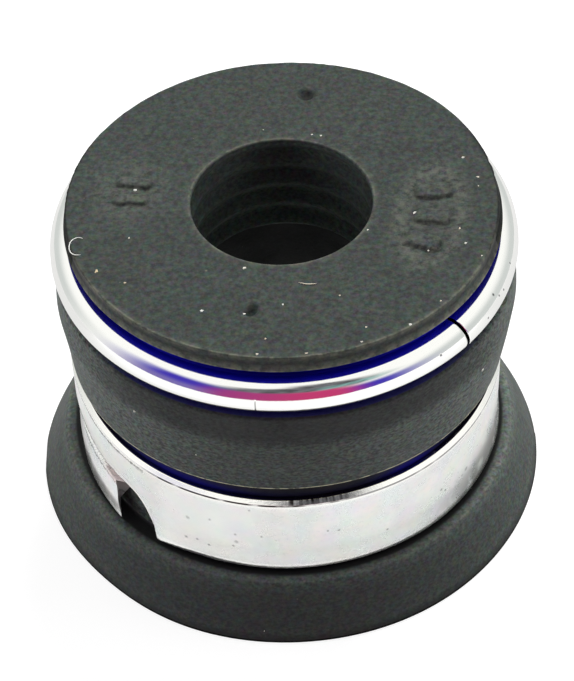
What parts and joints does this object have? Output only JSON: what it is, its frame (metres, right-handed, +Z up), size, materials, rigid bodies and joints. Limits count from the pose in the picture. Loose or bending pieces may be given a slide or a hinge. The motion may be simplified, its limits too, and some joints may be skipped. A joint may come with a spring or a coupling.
{
  "type": "valve stem seal",
  "caption": "Round rubber valve stem seal with a ribbed stem bore, a polished wire ring in its upper groove, a lapped strip clamp round its neck and a flared foot.",
  "frame": {"origin": "on the stem axis at the underside of the foot", "axes": "+Z up the stem axis towards the flat top, -Y towards the viewer of the picture, +X to the viewer's right"},
  "size_m": [0.0252, 0.0252, 0.0171],
  "materials": {
    "rubber": "matte moulded nitrile rubber",
    "wire": "polished plated spring wire",
    "band": "satin zinc-plated strip"
  },
  "bodies": {
    "root": {"seal_body": "rubber", "wire_ring": "wire", "clamp_band": "band"}
  },
  "joints": []
}
